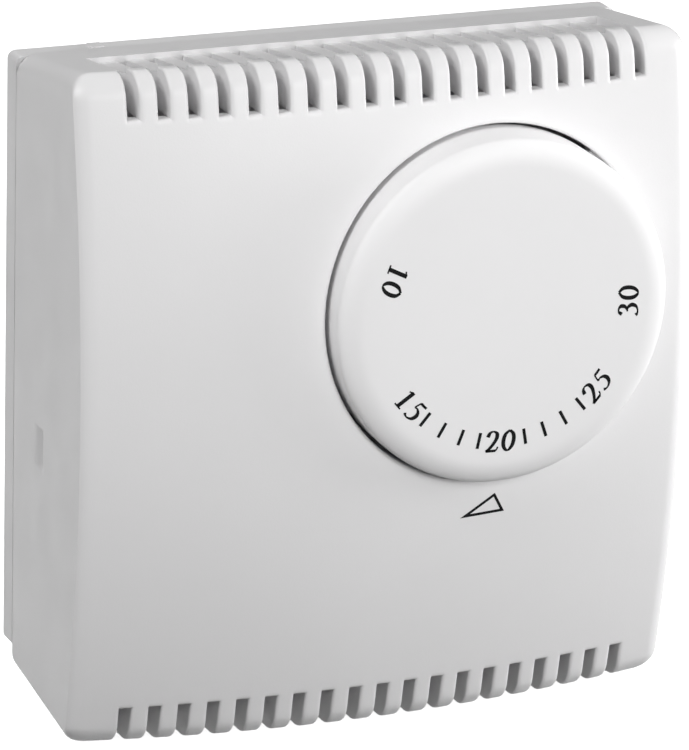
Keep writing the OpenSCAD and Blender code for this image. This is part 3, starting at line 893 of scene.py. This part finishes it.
def bump(tree, value, height, normal=None):
    """Surface relief of a height in metres."""
    node = tree.nodes.new("ShaderNodeBump")
    node.inputs["Strength"].default_value = 1.0
    node.inputs["Distance"].default_value = height
    tree.links.new(value, node.inputs["Height"])
    if normal:
        tree.links.new(normal, node.inputs["Normal"])
    return node.outputs["Normal"]


def plastic(name, colour, rough, grain=0.000012, grain_size=0.00022, tint=0.015, gloss=0.5):
    """Moulded plastic with spark-eroded grain, slow sink waves and faint handling marks."""
    material, tree, shader = new_material(name)
    darker = tuple(c * (1 - tint) for c in colour)
    tone = two_tone(tree, noise(tree, 45, 5.0), darker, colour)
    tree.links.new(tone, shader.inputs["Base Color"])
    shine = spread(tree, noise(tree, 160, 6.0), rough - 0.05, rough + 0.06)
    tree.links.new(shine, shader.inputs["Roughness"])
    fine = bump(tree, noise(tree, 1 / grain_size, 3.0, 0.7), grain)
    waves = bump(tree, noise(tree, 38, 2.0), 0.00004, fine)
    tree.links.new(waves, shader.inputs["Normal"])
    shader.inputs["Specular IOR Level"].default_value = gloss
    return material


def metal(name, colour, rough, stretch=(30, 1, 1), scratch=0.000006):
    """Bare metal with fine drawn lines and slightly uneven tarnish."""
    material, tree, shader = new_material(name)
    darker = tuple(c * 0.82 for c in colour)
    tree.links.new(two_tone(tree, noise(tree, 220, 6.0), darker, colour), shader.inputs["Base Color"])
    lines = noise(tree, 700, 4.0, 0.7, stretch)
    tree.links.new(spread(tree, lines, rough - 0.08, rough + 0.1), shader.inputs["Roughness"])
    tree.links.new(bump(tree, lines, scratch), shader.inputs["Normal"])
    shader.inputs["Metallic"].default_value = 1.0
    return material


def ink(name):
    """Pad-printed black ink, slightly uneven."""
    material, tree, shader = new_material(name)
    tone = two_tone(tree, noise(tree, 3000, 4.0), (0.002, 0.002, 0.002), (0.006, 0.006, 0.007))
    tree.links.new(tone, shader.inputs["Base Color"])
    tree.links.new(spread(tree, noise(tree, 2500, 3.0), 0.7, 0.85), shader.inputs["Roughness"])
    shader.inputs["Specular IOR Level"].default_value = 0.1
    return material


def floor_paper(name):
    """Plain white paper lit from behind, as on a light table."""
    material, tree, shader = new_material(name)
    tone = two_tone(tree, noise(tree, 8, 3.0), (0.93, 0.93, 0.93), (0.95, 0.95, 0.95))
    tree.links.new(tone, shader.inputs["Base Color"])
    tree.links.new(bump(tree, noise(tree, 900, 4.0), 0.00002), shader.inputs["Normal"])
    shader.inputs["Roughness"].default_value = 0.9
    shader.inputs["Specular IOR Level"].default_value = 0.2
    shader.inputs["Emission Color"].default_value = (1, 1, 1, 1)
    shader.inputs["Emission Strength"].default_value = 0.9
    return material


MATERIALS = {
    "white_case": plastic("white_case", (0.79, 0.785, 0.79), 0.42),
    "base_white": plastic("base_white", (0.78, 0.775, 0.78), 0.42),
    "dial_white": plastic("dial_white", (0.88, 0.875, 0.88), 0.5, grain=0.000005, gloss=0.3),
    "black_plastic": plastic("black_plastic", (0.03, 0.03, 0.033), 0.45, tint=0.2),
    "ivory_plastic": plastic("ivory_plastic", (0.72, 0.69, 0.60), 0.45, tint=0.05),
    "grey_plastic": plastic("grey_plastic", (0.42, 0.42, 0.43), 0.45, tint=0.05),
    "zinc_steel": metal("zinc_steel", (0.62, 0.63, 0.66), 0.32),
    "spring_steel": metal("spring_steel", (0.45, 0.45, 0.47), 0.28, stretch=(1, 1, 20)),
    "brass": metal("brass", (0.76, 0.58, 0.27), 0.3, stretch=(1, 12, 1)),
    "copper_alloy": metal("copper_alloy", (0.72, 0.42, 0.27), 0.33, stretch=(4, 1, 4)),
    "contact_silver": metal("contact_silver", (0.86, 0.86, 0.85), 0.2, stretch=(1, 1, 1)),
    "resistor_body": plastic("resistor_body", (0.55, 0.42, 0.25), 0.5, tint=0.12),
}
INK = ink("scale_ink")
FLOOR = floor_paper("paper")


def dress(thing, material):
    """Gives a made piece its one material."""
    thing.data.materials.clear()
    thing.data.materials.append(material)


# ---------------------------------------------------------------- CAD nodes that keep their shape


def soften(node, width):
    """Small rounded edges on a CAD node, which keeps its mesh."""
    tool = node.modifiers.new("soft_edges", "BEVEL")
    tool.width = width * MM
    tool.segments = 2
    tool.limit_method = "ANGLE"
    tool.angle_limit = math.radians(40)
    tool.use_clamp_overlap = True
    tool.harden_normals = True


# widths of the softened edges
SOFT_EDGES = {"base_plate": 0.1, "terminal_block": 0.25, "switch_case": 0.2, "switch_lid": 0.15,
              "mechanism_bracket": 0.12, "sensing_lever": 0.1, "terminal_clamps": 0.12}
for entry in frame["record"]["subparts"]:
    if entry["node"] not in ("front_cover", "dial"):
        for place in NODES[entry["node"]].material_slots:
            place.material = MATERIALS[entry["material_slot"]]
for name, width in SOFT_EDGES.items():
    soften(NODES[name], width)

# ---------------------------------------------------------------- pieces made here

cover = make_cover()
dress(cover, MATERIALS["white_case"])
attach(cover, "cover")
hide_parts("front_cover")

knob = make_dial()
dress(knob, MATERIALS["dial_white"])
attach(knob, "dial")
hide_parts("dial")

scale = make_scale()
dress(scale, INK)
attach(scale, "dial")

pointer = make_pointer()
dress(pointer, INK)
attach(pointer, "cover")

# ---------------------------------------------------------------- floor, light and camera

FLOOR_HALF = 3.0
FLOOR_GAP = 0.0005    # between the floor and the object
BACKDROP = 0.9        # brightness beyond the floor
CAMERA_PLACE = Vector((-0.23535, -0.56452, 0.20266))
CAMERA_AIM = Vector((0.00379, -0.00351, -0.00488))
CAMERA_LENS = 286.2
CAMERA_ROLL = 1.617   # degrees


def make_floor():
    """A large flat sheet under the object. It throws no light back at the object."""
    mesh = bpy.data.meshes.new("floor")
    work = bmesh.new()
    bmesh.ops.create_grid(work, x_segments=2, y_segments=2, size=FLOOR_HALF)
    work.to_mesh(mesh)
    work.free()
    thing = bpy.data.objects.new("floor", mesh)
    bpy.context.scene.collection.objects.link(thing)
    thing.location = (0, 0, cad_box[0][2] - FLOOR_GAP)
    thing.visible_diffuse = False
    dress(thing, FLOOR)


# softboxes round the object: degrees from straight ahead towards +X, degrees up, metres away, size, watts
LIGHTS = {
    "key": (9, 20, 0.35, 0.16, 0.745),
    "right": (80, 9, 0.5, 0.2, 1.98),
    "left": (-77, 47, 0.9, 0.4, 4.65),
    "front_left": (-45, 8, 0.9, 0.4, 0.35),
    "behind": (180, 50, 0.9, 0.4, 1.7),
}
LIGHT_AIM = Vector((0, -0.02, 0))


def area_light(name, turn, rise, distance, size, power):
    """A square soft light that points at the object."""
    data = bpy.data.lights.new(name, "AREA")
    data.shape = "SQUARE"
    data.size = size
    data.energy = power
    thing = bpy.data.objects.new(name, data)
    bpy.context.scene.collection.objects.link(thing)
    turn = math.radians(turn)
    rise = math.radians(rise)
    flat = distance * math.cos(rise)
    thing.location = (flat * math.sin(turn), -flat * math.cos(turn), distance * math.sin(rise))
    thing.rotation_euler = (LIGHT_AIM - thing.location).to_track_quat("-Z", "Y").to_euler()


def make_world():
    """A pale backdrop beyond the floor. It is only looked at: the softboxes give the light."""
    world = bpy.data.worlds.new("studio")
    world.cycles_visibility.diffuse = False
    world.cycles_visibility.glossy = False
    world.use_nodes = True
    back = world.node_tree.nodes["Background"]
    back.inputs["Color"].default_value = (1, 1, 1, 1)
    back.inputs["Strength"].default_value = BACKDROP
    bpy.context.scene.world = world


def make_camera():
    """Stands a little left of the object and above it, looking at its left, top and front."""
    data = bpy.data.cameras.new("camera")
    data.sensor_fit = "HORIZONTAL"
    data.sensor_width = 36
    data.lens = CAMERA_LENS
    data.clip_start = 0.01
    data.clip_end = 20
    thing = bpy.data.objects.new("camera", data)
    bpy.context.scene.collection.objects.link(thing)
    look = (CAMERA_AIM - CAMERA_PLACE).to_track_quat("-Z", "Y").to_matrix()
    turn = look @ Matrix.Rotation(math.radians(CAMERA_ROLL), 3, "Z")
    thing.matrix_world = Matrix.Translation(CAMERA_PLACE) @ turn.to_4x4()
    bpy.context.scene.camera = thing
    bpy.context.scene.view_settings.view_transform = "Standard"


make_floor()
make_world()
for light_name, settings in LIGHTS.items():
    area_light(light_name, *settings)
make_camera()
